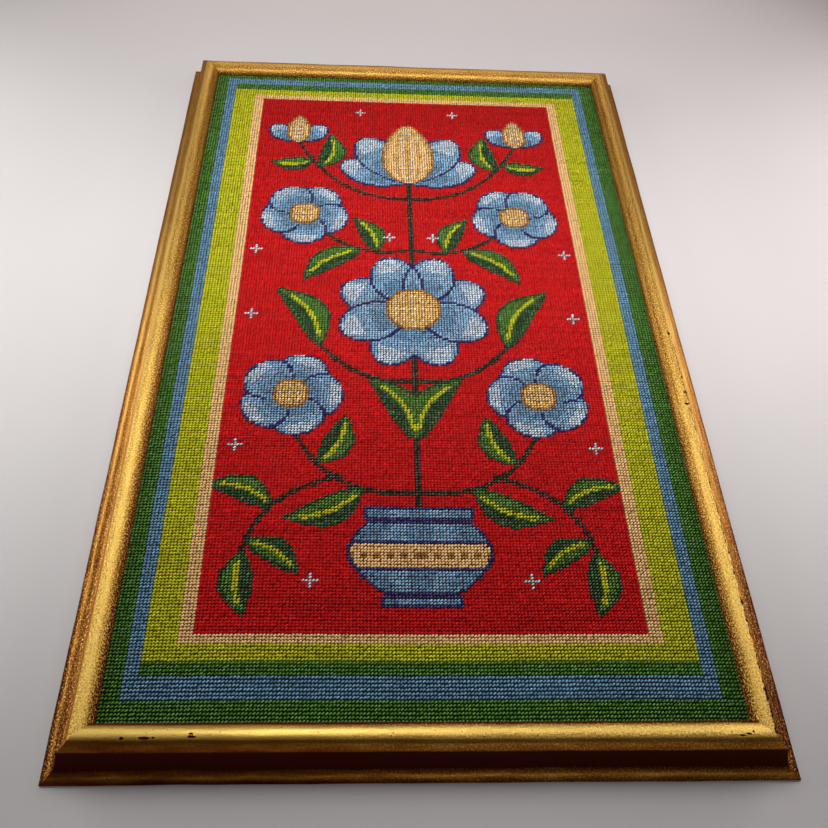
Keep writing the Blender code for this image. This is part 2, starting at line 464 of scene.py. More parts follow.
def canvas_chart():
    """Returns the yarn of every stitch, rows from the bottom up."""
    columns = np.arange(FIELD_COLS) - (FIELD_COLS - 1) / 2
    across, up = np.meshgrid(np.abs(columns), np.arange(FIELD_ROWS) + 0.5)
    chart = np.full(across.shape, YARN["red"])
    for stalk in STALKS:
        chart_stalk(chart, across, up, stalk)
    for leaf in LEAVES:
        chart_leaf(chart, across, up, leaf)
    for bloom in BLOOMS:
        chart_bloom(chart, across, up, bloom)
    for crown in CROWNS:
        chart_crown(chart, across, up, crown)
    chart_urn(chart, across, up)
    for place in STARS:
        chart_star(chart, across, up, place)
    for stripe in STRIPES:
        sides = ((stripe.bottom, stripe.top), (stripe.left, stripe.right))
        chart = np.pad(chart, sides, constant_values=YARN[stripe.yarn])
    return chart


# Helpers for modelling by hand


def deselect_all():
    """Leaves nothing selected."""
    bpy.ops.object.select_all(action="DESELECT")


def only(piece):
    """Selects one piece alone and makes it active."""
    deselect_all()
    piece.select_set(True)
    bpy.context.view_layer.objects.active = piece


def choose_edges(piece, test):
    """In edit mode, selects the edges that pass a test."""
    mesh = bmesh.from_edit_mesh(piece.data)
    mesh.select_mode = {"EDGE"}
    for edge in mesh.edges:
        edge.select_set(False)
    for edge in mesh.edges:
        if test(edge):
            edge.select_set(True)
    bmesh.update_edit_mesh(piece.data)


def choose_vertices(piece, test):
    """In edit mode, selects the vertices that pass a test."""
    mesh = bmesh.from_edit_mesh(piece.data)
    mesh.select_mode = {"VERT"}
    for vertex in mesh.verts:
        vertex.select_set(test(vertex))
    mesh.select_flush_mode()
    bmesh.update_edit_mesh(piece.data)


def repeat(piece, count, offset):
    """Repeats a piece in a straight line."""
    only(piece)
    bpy.ops.object.modifier_add(type="ARRAY")
    array = piece.modifiers[-1]
    array.count = count
    array.use_relative_offset = False
    array.use_constant_offset = True
    array.constant_offset_displace = offset
    bpy.ops.object.modifier_apply(modifier=array.name)


def points_of(mesh):
    """Returns the mesh's points as an array."""
    points = np.empty(len(mesh.vertices) * 3)
    mesh.vertices.foreach_get("co", points)
    return points.reshape(-1, 3)


def set_points(mesh, points):
    """Moves the mesh's points."""
    mesh.vertices.foreach_set("co", np.ascontiguousarray(points, dtype=np.float32).ravel())
    mesh.update()


def belongs(piece, material, slot, *replaced):
    """Gives a finished piece its material and its body, and hides the solids that it stands for."""
    piece.data.materials.clear()
    piece.data.materials.append(material)
    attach(piece, "root")
    if replaced:
        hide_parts(*replaced)


# Helpers for materials


def add(tree, kind, inputs=None, **settings):
    """Adds a node, sets what it holds and links or sets its inputs."""
    node = tree.nodes.new(kind)
    for key, value in settings.items():
        setattr(node, key, value)
    for key, value in (inputs or {}).items():
        if isinstance(value, bpy.types.NodeSocket):
            tree.links.new(value, node.inputs[key])
        else:
            node.inputs[key].default_value = value
    return node


def calc(tree, operation, first, second=0.0, third=0.0):
    """Adds a sum and returns its result."""
    node = add(tree, "ShaderNodeMath", {0: first, 1: second, 2: third}, operation=operation)
    return node.outputs[0]


def times(tree, first, second):
    """Adds a product and returns it."""
    return calc(tree, "MULTIPLY", first, second)


def scaled(tree, value, share, more):
    """Adds a value times a share, plus more, and returns it."""
    return calc(tree, "MULTIPLY_ADD", value, share, more)


def minus(tree, first, second):
    """Adds a difference and returns it."""
    return calc(tree, "SUBTRACT", first, second)


def within(tree, value, low, high):
    """Adds a test that is 1 where a value lies between two others, and 0 elsewhere."""
    above = calc(tree, "GREATER_THAN", value, low)
    return times(tree, above, calc(tree, "LESS_THAN", value, high))


def humps(tree, count):
    """Adds a row of round humps, one to each whole number."""
    return calc(tree, "ABSOLUTE", calc(tree, "SINE", times(tree, count, math.pi)))


def vector_calc(tree, operation, first, second):
    """Adds a sum of two vectors, or a vector scaled by a number, and returns its result."""
    key = "Scale" if operation == "SCALE" else 1
    return add(tree, "ShaderNodeVectorMath", {0: first, key: second}, operation=operation).outputs[0]


def axis(tree, vector, name):
    """Adds a split of a vector and returns one of its parts."""
    return add(tree, "ShaderNodeSeparateXYZ", {0: vector}).outputs[name]


def stretched(tree, vector, share):
    """Adds a mapping that draws a texture out along X."""
    return add(tree, "ShaderNodeMapping", {"Vector": vector, "Scale": (share, 1.0, 1.0)}).outputs[0]


def bump(tree, height, strength, distance):
    """Adds a bump and returns its normal."""
    inputs = {"Height": height, "Strength": strength, "Distance": distance}
    return add(tree, "ShaderNodeBump", inputs).outputs[0]


def blend(tree, share, first, second):
    """Adds a mix of two numbers and returns it."""
    return add(tree, "ShaderNodeMix", {0: share, 2: first, 3: second}, data_type="FLOAT").outputs[0]


def link_all(tree, inputs, results):
    """Links each result to the input that it is named for."""
    for name, result in results.items():
        tree.links.new(result, inputs[name])


def new_group(name, inputs, outputs):
    """Makes a node group with its sockets, and returns it with what goes in and comes out."""
    group = bpy.data.node_groups.new(name, "ShaderNodeTree")
    for side, sockets in (("INPUT", inputs), ("OUTPUT", outputs)):
        for socket, kind in sockets.items():
            group.interface.new_socket(name=socket, in_out=side, socket_type="NodeSocket" + kind)
    source = group.nodes.new("NodeGroupInput").outputs
    result = group.nodes.new("NodeGroupOutput").inputs
    return group, source, result


def ramp(tree, value, low, high, low_to=0.0, high_to=1.0):
    """Adds a smooth step from low to high and returns its result."""
    inputs = {"Value": value, "From Min": low, "From Max": high, "To Min": low_to, "To Max": high_to}
    node = add(tree, "ShaderNodeMapRange", inputs, interpolation_type="SMOOTHSTEP")
    return node.outputs["Result"]


def graph(tree, value, points):
    """Adds a line drawn through points and returns its height at a value."""
    low, high = points[0][0], points[-1][0]
    place = add(tree, "ShaderNodeMapRange", {"Value": value, "From Min": low, "From Max": high})
    line = add(tree, "ShaderNodeValToRGB", {"Fac": place.outputs["Result"]})
    stops = line.color_ramp.elements
    while len(stops) < len(points):
        stops.new(0.5)
    for stop, (at, level) in zip(stops, points):
        stop.position = (at - low) / (high - low)
        stop.color = (level, level, level, 1)
    return line.outputs["Color"]


def blend_color(tree, share, first, second):
    """Adds a mix of two colours and returns it."""
    node = add(tree, "ShaderNodeMix", {"Factor": share}, data_type="RGBA")
    for socket, value in ((node.inputs[6], first), (node.inputs[7], second)):
        if isinstance(value, bpy.types.NodeSocket):
            tree.links.new(value, socket)
        else:
            socket.default_value = (*value[:3], 1.0)
    return node.outputs[2]


def noise(tree, vector, scale, detail=2.0, roughness=0.5):
    """Adds a noise and returns its value."""
    inputs = {"Vector": vector, "Scale": scale, "Detail": detail, "Roughness": roughness}
    return add(tree, "ShaderNodeTexNoise", inputs).outputs["Fac"]


def new_material(name, roughness, metallic=0.0):
    """Returns a material, its tree and its shader."""
    material = bpy.data.materials.new(name)
    material.use_nodes = True
    tree = material.node_tree
    shader = tree.nodes["Principled BSDF"]
    shader.inputs["Roughness"].default_value = roughness
    shader.inputs["Metallic"].default_value = metallic
    return material, tree, shader


def fibre_group():
    """Makes the group that gives spun wool its plies and its hairs, painted shade at the roots of its
    stitches and a painted highlight on their tops.
    """
    group, source, result = new_group(
        "spun_wool",
        {"Yarn": "Color", "Lie": "Vector", "Depth": "Float", "Gap Light": "Float"},
        {"Color": "Color", "Height": "Float"},
    )
    lie, depth, gap_light = source["Lie"], source["Depth"], source["Gap Light"]
    twisted = add(group, "ShaderNodeMapping", {"Vector": lie, "Rotation": (0, 0, PLY_SLANT)}).outputs[0]
    wave = {"Vector": twisted, "Scale": WAVE_PERIOD / PLY_PITCH, "Distortion": 2.0, "Detail": 1.0}
    plies = add(group, "ShaderNodeTexWave", wave, bands_direction="Y").outputs["Fac"]
    hairs = noise(group, lie, 1 / HAIR_PITCH)
    light = scaled(group, plies, 0.24, scaled(group, hairs, 0.4, 0.68))
    # Painted shade: each stitch darkens towards its root to its Gap Light, and its top is lit a little
    # past its yarn's colour
    light = times(group, light, ramp(group, depth, 0.20, 0.92, gap_light, 1.12))
    lit = vector_calc(group, "SCALE", source["Yarn"], light)
    # Painted highlight: a pale tip on every stitch
    wear_and_tip_highlight = ramp(group, depth, 0.74, 0.97, 0.0, graph(group, gap_light, PAINTED_TIP_HIGHLIGHT))
    lit = vector_calc(group, "ADD", lit, wear_and_tip_highlight)
    link_all(group, result, {"Color": lit, "Height": scaled(group, hairs, 0.5, plies)})
    return group


def wool_material(rise):
    """Makes the wool of the stitches, coloured by their yarn attribute."""
    material, tree, shader = new_material("wool_stitches", 0.9)
    yarn = add(tree, "ShaderNodeAttribute", attribute_name="yarn").outputs
    lie = add(tree, "ShaderNodeUVMap", uv_map="fibre").outputs["UV"]
    up = axis(tree, add(tree, "ShaderNodeTexCoord").outputs["Object"], "Z")
    # How high each point lies on its stitch, for the painted shade and highlight
    depth = calc(tree, "DIVIDE", minus(tree, up, FACE_UP - rise), rise)
    inputs = {"Yarn": yarn["Color"], "Lie": lie, "Depth": depth, "Gap Light": yarn["Alpha"]}
    wool = add(tree, "ShaderNodeGroup", inputs, node_tree=fibre_group()).outputs
    normal = bump(tree, wool["Height"], 0.6, 0.1 * MM)
    link_all(tree, shader.inputs, {"Base Color": wool["Color"], "Normal": normal})
    shader.inputs["Specular IOR Level"].default_value = 0.1
    shader.inputs["Sheen Weight"].default_value = 0.03
    shader.inputs["Sheen Roughness"].default_value = 0.4
    return material


def stripe_boxes():
    """Returns the yarn and the box of the field and of each stripe, from the inside out."""
    low_col = sum(stripe.left for stripe in STRIPES)
    low_row = sum(stripe.bottom for stripe in STRIPES)
    high_col = low_col + FIELD_COLS
    high_row = low_row + FIELD_ROWS
    boxes = [("red", low_col, low_row, high_col, high_row)]
    for stripe in STRIPES:
        low_col -= stripe.left
        low_row -= stripe.bottom
        high_col += stripe.right
        high_row += stripe.top
        boxes.append((stripe.yarn, low_col, low_row, high_col, high_row))
    return boxes


def canvas_material(settings):
    """Makes the canvas under the stitches and its back, with the long slanted reverse stitches, and
    painted shade on its front and between the reverse stitches.
    """
    material, tree, shader = new_material("canvas_back", 0.95)
    shader.inputs["Specular IOR Level"].default_value = 0.1
    place = add(tree, "ShaderNodeTexCoord").outputs["Object"]
    to_stitches = {"Vector": place, "Location": (-LEFT_EDGE, -BOTTOM_EDGE, 0)}
    place = add(tree, "ShaderNodeMapping", to_stitches).outputs[0]
    counts = vector_calc(tree, "SCALE", place, 1 / STITCH)
    across, up = axis(tree, counts, "X"), axis(tree, counts, "Y")
    boxes = stripe_boxes()
    color = (*getattr(settings, boxes[-1][0]), 1)
    for yarn, low_col, low_row, high_col, high_row in reversed(boxes[:-1]):
        inside = within(tree, across, low_col, high_col)
        inside = times(tree, inside, within(tree, up, low_row, high_row))
        color = blend_color(tree, inside, color, getattr(settings, yarn))
    rows = humps(tree, up)
    yarns = humps(tree, scaled(tree, up, 0.5, across))
    height = times(tree, calc(tree, "POWER", rows, 0.3), calc(tree, "POWER", yarns, 0.7))
    strands = noise(tree, vector_calc(tree, "MULTIPLY", counts, (0.3, 2.0, 1.0)), 0.8)
    # Painted shade in the hollows between the reverse stitches, mottled by their strands
    shade = times(tree, scaled(tree, height, 0.7, 0.25), scaled(tree, strands, 0.9, 0.45))
    back = vector_calc(tree, "SCALE", color, shade)
    # Painted shade: the front, seen between the stitches, is the stripe's colour darkened to the light
    # left there
    gap_shade = vector_calc(tree, "SCALE", color, settings.gaps)
    at_front = calc(tree, "GREATER_THAN", axis(tree, place, "Z"), PANEL_LOW.z + 0.5 * MM)
    lit = blend_color(tree, at_front, back, gap_shade)
    link_all(tree, shader.inputs, {"Base Color": lit, "Normal": bump(tree, height, 0.8, 0.5 * MM)})
    return material


def chip_group():
    """Makes the group that marks one chip, with a ragged rim."""
    inputs = dict.fromkeys(("Place", "Middle", "Half"), "Vector")
    group, source, result = new_group("chip_in_gilding", inputs, {"Mask": "Float"})
    away = vector_calc(group, "SUBTRACT", source["Place"], source["Middle"])
    share = vector_calc(group, "DIVIDE", away, source["Half"])
    length = add(group, "ShaderNodeVectorMath", {0: share}, operation="LENGTH").outputs["Value"]
    ragged = scaled(group, noise(group, source["Place"], 1300.0), 1.4, length)
    link_all(group, result, {"Mask": ramp(group, ragged, 1.55, 1.75, 1.0, 0.0)})
    return group


def leaf_group():
    """Makes the group for rubbed metal leaf over a red-brown ground, by place on the moulding, with
    painted highlight and painted shade in its share of leaf.
    """
    group, source, result = new_group(
        "rubbed_leaf",
        {"Lie": "Vector", **dict.fromkeys(FINISHES, "Color"), "Chipped": "Float"},
        {"Color": "Color", "Metallic": "Float", "Roughness": "Float", "Height": "Float"},
    )
    lie, chipped = source["Lie"], source["Chipped"]
    girth, way = axis(group, lie, "Y"), axis(group, lie, "X")
    cover_and_highlight = graph(group, girth, [(at * MM, share) for at, share in LEAF_COVER_AND_HIGHLIGHT])
    sight, hump, beside, flecks = (
        graph(group, way, [(wear_and_light.at, wear_and_light[column]) for wear_and_light in WEAR_AND_LIGHT]) for column in (1, 2, 3, 4)
    )
    streaks = noise(group, stretched(group, lie, 0.12), 1 / STREAK_SIZE, 3.0, 0.6)
    grains = noise(group, lie, 1 / GRAIN_SIZE, 2.0, 0.6)
    stipple = ramp(group, noise(group, lie, 1 / STIPPLE_SIZE, 2.0, 0.7), 0.44, 0.72)
    on_hump = ramp(group, girth, 4.5 * MM, 7.5 * MM)
    outside = ramp(group, girth, 13.0 * MM, 15.5 * MM)
    share = blend(group, outside, blend(group, on_hump, sight, hump), beside)
    flecks = times(group, flecks, scaled(group, outside, -0.6, 1.0))
    # Leaf left: partly wear, partly painted highlight and painted shade from the cover and the shares;
    # where more is left the leaf is also brighter
    left = scaled(group, minus(group, streaks, 0.5), 0.42, times(group, cover_and_highlight, share))
    for texture, middle, reach in ((grains, 0.5, 0.6), (stipple, 0.3, 0.5)):
        left = scaled(group, times(group, minus(group, texture, middle), reach), flecks, left)
    cells = add(group, "ShaderNodeTexVoronoi", {"Vector": lie, "Scale": 1 / SPECK_SPACING})
    speck = ramp(group, cells.outputs["Distance"], 0.05, 0.12, 1.0, 0.0)
    # The specks and the chips, where the leaf is worn off
    wear_and_tip_highlight = calc(group, "MAXIMUM", speck, chipped)
    kept = times(group, ramp(group, left, 0.15, 0.60), minus(group, 1.0, wear_and_tip_highlight))
    leaf = blend_color(group, ramp(group, left, 0.35, 1.28), source["Dull Leaf"], source["Leaf"])
    ground = blend_color(group, wear_and_tip_highlight, source["Bole"], source["Pits"])
    color = blend_color(group, kept, ground, leaf)
    # The pale lines, broken into patches
    line_patches = ramp(group, noise(group, lie, 1 / LINE_PATCH_SIZE, 2.0, 0.6), 0.30, 0.45)
    for edge_line in PALE_EDGE_LINES:
        away = calc(group, "ABSOLUTE", minus(group, girth, edge_line.girth * MM))
        half = edge_line.half * MM
        edge = times(group, ramp(group, away, 0.4 * half, half, 0.75, 0.0), line_patches)
        edge = times(group, edge, within(group, way, edge_line.start, edge_line.end))
        color = blend_color(group, edge, color, source["Gesso"])
        kept = times(group, kept, minus(group, 1.0, edge))
    bare = calc(group, "GREATER_THAN", girth, GILT_GIRTH)
    grain = noise(group, stretched(group, lie, 0.06), 1 / WOOD_GRAIN_SIZE, 3.0, 0.6)
    wood = vector_calc(group, "SCALE", source["Wood"], scaled(group, grain, 0.9, 0.45))
    gilded = times(group, kept, minus(group, 1.0, bare))
    height = times(group, scaled(group, stipple, 0.7, times(group, grains, 0.6)), flecks)
    link_all(group, result, {
        "Color": blend_color(group, bare, color, wood),
        "Metallic": times(group, gilded, 0.75),
        "Roughness": scaled(group, gilded, -0.24, scaled(group, grains, 0.3, 0.46)),
        "Height": minus(group, height, times(group, chipped, 1.5)),
    })
    return group


def crack_mask(tree, place, flat):
    """Marks the jagged crack along the right rail's crease."""
    across, up = axis(tree, place, "X"), axis(tree, place, "Y")
    waver = noise(tree, flat, 1 / (9 * MM), 3.0, 0.7)
    jag = noise(tree, flat, 1 / (2.4 * MM), 3.0, 0.6)
    middle = scaled(tree, waver, CRACK_WAVER, CRACK_ACROSS - (CRACK_WAVER + CRACK_JAG) / 2)
    middle = scaled(tree, jag, CRACK_JAG, middle)
    off_line = calc(tree, "ABSOLUTE", minus(tree, across, middle))
    wide = ramp(tree, up, -0.31, -0.20, 0.75 * MM, 0.40 * MM)
    shifted = vector_calc(tree, "ADD", flat, (0.5, 0.5, 0))
    gape = scaled(tree, noise(tree, shifted, 1 / (5 * MM), 2.0, 0.7), 4.0, -1.45)
    crack = calc(tree, "LESS_THAN", off_line, times(tree, wide, gape))
    return times(tree, crack, within(tree, up, CRACK_END, CRACK_TOP))


def gilt_material(settings):
    """Makes the worn gilding, with its painted highlight and shade, its chips and the crack along the
    right rail.
    """
    material, tree, shader = new_material("worn_gilding", 0.4)
    shader.inputs["Specular IOR Level"].default_value = 0.04
    lie = add(tree, "ShaderNodeUVMap", uv_map="moulding").outputs["UV"]
    place = add(tree, "ShaderNodeTexCoord").outputs["Object"]
    flat = vector_calc(tree, "MULTIPLY", place, (1, 1, 0))
    chips = chip_group()
    chipped = crack_mask(tree, place, flat)
    for chip in CHIPS:
        middle = (chip.x * MM, chip.y * MM, 0)
        half = (chip.half_x * MM, chip.half_y * MM, 1)
        inputs = {"Place": flat, "Middle": middle, "Half": half}
        mask = add(tree, "ShaderNodeGroup", inputs, node_tree=chips).outputs["Mask"]
        chipped = calc(tree, "MAXIMUM", chipped, mask)
    inputs = {name: (*getattr(settings, color), 1) for name, color in FINISHES.items()}
    inputs.update({"Lie": lie, "Chipped": chipped})
    leaf = add(tree, "ShaderNodeGroup", inputs, node_tree=leaf_group()).outputs
    link_all(tree, shader.inputs, {
        "Base Color": leaf["Color"],
        "Metallic": leaf["Metallic"],
        "Roughness": leaf["Roughness"],
        "Normal": bump(tree, leaf["Height"], 0.9, 0.15 * MM),
    })
    return material


# Pieces


def model_canvas():
    """Models the canvas as a thin sheet in the frame's rabbet, a little slack at its back."""
    size = PANEL_HIGH - PANEL_LOW
    deselect_all()
    bpy.ops.mesh.primitive_grid_add(x_subdivisions=36, y_subdivisions=60, size=1)
    piece = bpy.context.object
    piece.name = "needlepoint_canvas"
    piece.scale = (size.x, size.y, 1)
    piece.location = (0, 0, PANEL_LOW.z)
    bpy.ops.object.transform_apply(location=True, rotation=True, scale=True)
    bpy.ops.object.modifier_add(type="SOLIDIFY")
    piece.modifiers[-1].thickness = GROUND_UP - PANEL_LOW.z
    piece.modifiers[-1].offset = 1
    bpy.ops.object.modifier_apply(modifier=piece.modifiers[-1].name)
    points = points_of(piece.data)
    under = points[:, 2] < PANEL_LOW.z + 0.1 * MM
    slack = np.sin(points[:, 0] * 41 + 1) * np.sin(points[:, 1] * 29 + 2)
    points[under, 2] += CANVAS_SLACK * (1 + slack[under])
    set_points(piece.data, points)
    bpy.ops.object.shade_smooth_by_angle(angle=SMOOTH_BELOW)
    return piece


def model_stitch(name, plumpness, rise):
    """Models one stitch as half a grain of yarn, slanted over one crossing of the canvas."""
    deselect_all()
    upright = (math.pi / 2, 0, 0)
    bpy.ops.mesh.primitive_uv_sphere_add(segments=6, ring_count=3, radius=1, rotation=upright)
    piece = bpy.context.object
    piece.name = name
    bpy.ops.object.transform_apply(location=False, rotation=True, scale=False)
    bpy.ops.object.mode_set(mode="EDIT")
    bpy.ops.mesh.select_all(action="SELECT")
    bpy.ops.mesh.bisect(plane_co=(0, 0, 0), plane_no=(0, 0, 1), clear_inner=True, threshold=0.001)
    choose_vertices(piece, lambda vertex: abs(vertex.co.y) < 0.9)
    bpy.ops.transform.resize(value=(1.08, RING_REACH, 1.08), center_override=(0, 0, 0))
    bpy.ops.mesh.select_all(action="SELECT")
    half_width = plumpness * STITCH / 2
    half_length = STITCH_REACH * STITCH
    bpy.ops.transform.resize(value=(half_width, half_length, rise), center_override=(0, 0, 0))
    bpy.ops.object.mode_set(mode="OBJECT")
    lay_fibre(piece)
    piece.rotation_euler.z = STITCH_TURN
    bpy.ops.object.transform_apply(location=False, rotation=True, scale=False)
    bpy.ops.object.shade_smooth()
    return piece


def lay_fibre(piece):
    """Gives a stitch a map that runs across and along its yarn, in metres."""
    mesh = piece.data
    for layer in list(mesh.uv_layers):
        mesh.uv_layers.remove(layer)
    lay = mesh.uv_layers.new(name="fibre")
    for loop in mesh.loops:
        lay.data[loop.index].uv = mesh.vertices[loop.vertex_index].co.xy


def stray(band, rows, columns, per_stitch, settings, draw):
    """Moves each stitch a little off its crossing, as pulled yarn and an uneven canvas do."""
    points = points_of(band.data).reshape(rows, columns, per_stitch, 3)
    middle = points.mean(axis=2, keepdims=True)
    local = points - middle
    shape = (rows, columns, 1)
    turn = draw.normal(0, 0.07, shape)
    local[..., 0], local[..., 1] = (
        local[..., 0] * np.cos(turn) - local[..., 1] * np.sin(turn),
        local[..., 1] * np.cos(turn) + local[..., 0] * np.sin(turn),
    )
    local[..., :2] *= 1 + draw.normal(0, 0.04, shape)[..., None]
    height = 1 - np.abs(draw.normal(0, 0.07, shape))
    local[..., 2] = (points[..., 2] - STITCH_FOOT) * height + STITCH_FOOT - middle[..., 2]
    across = middle[:, :, 0, 0]
    up = middle[:, :, 0, 1]
    slip = draw.normal(0, settings.unevenness * STITCH, (rows, columns, 2))
    row_slip = draw.normal(0, 0.03 * STITCH, (rows, 1))
    waver = np.sin(across * 31 + 1.3) * np.sin(up * 9 + 0.4)
    row = (up - BOTTOM_EDGE) / STITCH
    drift = np.interp(row, *zip(*ROW_DRIFT))
    drift = drift - TOP_SAG * (1 - (across / HALF_WIDE) ** 2) * (row / 300) ** 3
    middle[:, :, 0, 0] += slip[..., 0] + 0.2 * STITCH * np.sin(up * 17 + 0.8) * np.cos(across * 7)
    middle[:, :, 0, 1] += slip[..., 1] + row_slip + (0.12 * waver + drift) * STITCH
    set_points(band.data, (local + middle).reshape(-1, 3))


def dye(band, yarns, first_row, per_stitch, settings, draw):
    """Colours each stitch with its yarn, a little lighter or darker with every length of wool, and
    paints shade on the red towards the far end.
    """
    rows, columns = yarns.shape
    dyes = np.array([getattr(settings, name) for name in YARNS])
    colors = dyes[yarns]
    lengths = draw.normal(0, 1, (rows, columns // WOOL_LENGTH + 2))
    slide = draw.integers(0, WOOL_LENGTH, rows)[:, None]
    strand = (np.arange(columns)[None, :] + slide) // WOOL_LENGTH
    tone = np.take_along_axis(lengths, strand, axis=1)
    light = np.exp(0.07 * tone + draw.normal(0, 0.09, (rows, columns)))
    tinted = np.clip(0.3 * tone - 0.2, 0, 0.3)[..., None] * np.isin(yarns, [YARN["lime"]])[..., None]
    colors = colors * (1 - tinted) + np.array(settings.ochre) * tinted
    # Painted shade on the red, deepening from the middle rows to the far end
    depth = np.linspace(first_row, first_row + rows, rows) / (BANDS * rows)
    far_shade = np.interp(depth, (0.5, 1.0), (1.0, FAR_RED_SHADE))[:, None]
    light = light * np.where(yarns == YARN["red"], far_shade, 1)
    colors = colors * light[..., None]
    colors /= np.maximum(colors.max(axis=2, keepdims=True), 1)
    rgba = np.ones((rows, columns, per_stitch, 4), dtype=np.float32)
    rgba[..., :3] = colors[:, :, None, :]
    gap_light = np.array([PALE_GAPS.get(name, GAP_LIGHT) for name in YARNS])
    rgba[..., 3] = gap_light[yarns][:, :, None]
    attribute = band.data.color_attributes.new(name="yarn", type="FLOAT_COLOR", domain="POINT")
    attribute.data.foreach_set("color", rgba.ravel())


def map_from_above(band):
    """Adds the map that a bake of the finished band uses, laid out as seen from above."""
    mesh = band.data
    points = points_of(mesh)[:, :2]
    low = points.min(axis=0)
    size = points.max(axis=0) - low
    corners = np.empty(len(mesh.loops), dtype=np.int32)
    mesh.loops.foreach_get("vertex_index", corners)
    lay = mesh.uv_layers.new(name="OFBake")
    places = 0.002 + 0.996 * (points[corners] - low) / size
    lay.data.foreach_set("uv", places.astype(np.float32).ravel())


def stitch_band(number, chart, settings, draw):
    """Stitches one band of the panel's rows."""
    all_rows, columns = chart.shape
    rows = all_rows // BANDS
    name = "stitches_" + BAND_NAMES[number]
    band = model_stitch(name, settings.plumpness, settings.rise)
    per_stitch = len(band.data.vertices)
    band.location = (LEFT_EDGE + STITCH / 2, BOTTOM_EDGE + STITCH * (number * rows + 0.5), STITCH_FOOT)
    bpy.ops.object.transform_apply(location=True, rotation=False, scale=False)
    repeat(band, columns, (STITCH, 0, 0))
    repeat(band, rows, (0, STITCH, 0))
    stray(band, rows, columns, per_stitch, settings, draw)
    dye(band, chart[number * rows:(number + 1) * rows], number * rows, per_stitch, settings, draw)
    map_from_above(band)
    return band


def round_points(centre, radii, start, end, steps):
    """Returns points on an ellipse, both ends among them."""
    points = []
    for step in range(steps + 1):
        angle = start + (end - start) * step / steps
        points.append((centre[0] + radii[0] * math.cos(angle), centre[1] + radii[1] * math.sin(angle)))
    return points


def hollow_points(start, end, sag, steps):
    """Returns points on a shallow round hollow that sags under its chord."""
    first = Vector(start)
    chord = Vector(end) - first
    inward = Vector((chord.y, -chord.x)).normalized()
    points = []
    for step in range(steps + 1):
        part = step / steps
        points.append(tuple(first + chord * part + inward * 4 * sag * part * (1 - part)))
    return points


def moulding_section():
    """Returns the moulding's outline, from the sight edge over the top and the back to the rabbet."""
    hump_centre = (HUMP_HALF_WIDTH, LIP_UNDERSIDE_UP)
    hump_radii = (HUMP_HALF_WIDTH, MOULDING_HEIGHT - LIP_UNDERSIDE_UP)
    crease_angle = math.acos(CREASE_OUT / HUMP_HALF_WIDTH - 1)
    outline = round_points(hump_centre, hump_radii, math.pi, crease_angle, 26)
    outline += hollow_points(outline[-1], SCOOP_END, SCOOP_SAG, 9)[1:]
    outline.append((FILLET_TOP[0] - EASED, FILLET_TOP[1] + EASED / 2))
    outline.append((FILLET_TOP[0], FILLET_TOP[1] - EASED))
    outline += hollow_points(FILLET_FOOT, FLANK_FOOT, FLANK_SAG, 8)
    outline += hollow_points(FLANK_FOOT, (MOULDING_WIDTH, FOOT_HEIGHT), COVE_SAG, 10)[1:]
    outline += [(MOULDING_WIDTH, EASED), (MOULDING_WIDTH - EASED, 0.0)]
    outline += [(RABBET_WIDTH, 0.0), (RABBET_WIDTH, LIP_UNDERSIDE_UP)]
    return outline


def girths(section):
    """Returns how far each point of a closed section lies round it, and the whole way round."""
    ways = [0.0]
    for here, there in zip(section, section[1:] + section[:1]):
        ways.append(ways[-1] + math.dist(here, there))
    return ways[:-1], ways[-1]


def lay_moulding(piece, section):
    """Gives a rail a map that runs along it and round its section, in metres."""
    mesh = piece.data
    for layer in list(mesh.uv_layers):
        mesh.uv_layers.remove(layer)
    lay = mesh.uv_layers.new(name="moulding")
    ways, whole = girths(section)
    outline = np.array(section)
    last = len(section) - 1
    for face in mesh.polygons:
        corners = [mesh.vertices[mesh.loops[loop].vertex_index].co for loop in face.loop_indices]
        steps = [int(np.argmin(np.hypot(*(outline - (co.y, co.z)).T))) for co in corners]
        closing = len(corners) == 4 and 0 in steps and last in steps
        for loop, co, step in zip(face.loop_indices, corners, steps):
            way = whole if closing and step == 0 else ways[step]
            lay.data[loop].uv = (co.x, way)


def model_rail(name, half_sight, section, settings):
    """Models one rail along X with its face up: extruded, mitred and cut into short lengths."""
    reach = half_sight + 1.5 * MOULDING_WIDTH
    deselect_all()
    bpy.ops.mesh.primitive_circle_add(vertices=len(section), radius=MOULDING_WIDTH, fill_type="NGON")
    piece = bpy.context.object
    piece.name = name
    set_points(piece.data, np.array([(-reach, out, up) for out, up in section]))
    bpy.ops.object.mode_set(mode="EDIT")
    bpy.ops.mesh.select_all(action="SELECT")
    bpy.ops.mesh.extrude_region_move(TRANSFORM_OT_translate={"value": (2 * reach, 0, 0)})
    bpy.ops.mesh.select_all(action="SELECT")
    bpy.ops.mesh.normals_make_consistent(inside=False)
    bpy.ops.object.mode_set(mode="OBJECT")
    lay_moulding(piece, section)
    bpy.ops.object.mode_set(mode="EDIT")
    for side in (-1, 1):
        bpy.ops.mesh.select_all(action="SELECT")
        end = (side * (half_sight - MITRE_GAP / 2), 0, 0)
        bpy.ops.mesh.bisect(plane_co=end, plane_no=(side, -1, 0), use_fill=True, clear_outer=True)
    passes = math.ceil(math.sqrt(2 * half_sight / settings.step))
    for _ in range(2):
        choose_edges(piece, runs_along)
        bpy.ops.mesh.subdivide(number_cuts=passes - 1)
    bpy.ops.object.mode_set(mode="OBJECT")
    return piece


def runs_along(edge):
    """Tests whether an edge runs along X."""
    first, second = edge.verts
    return math.hypot(first.co.y - second.co.y, first.co.z - second.co.z) < 0.001 * MM


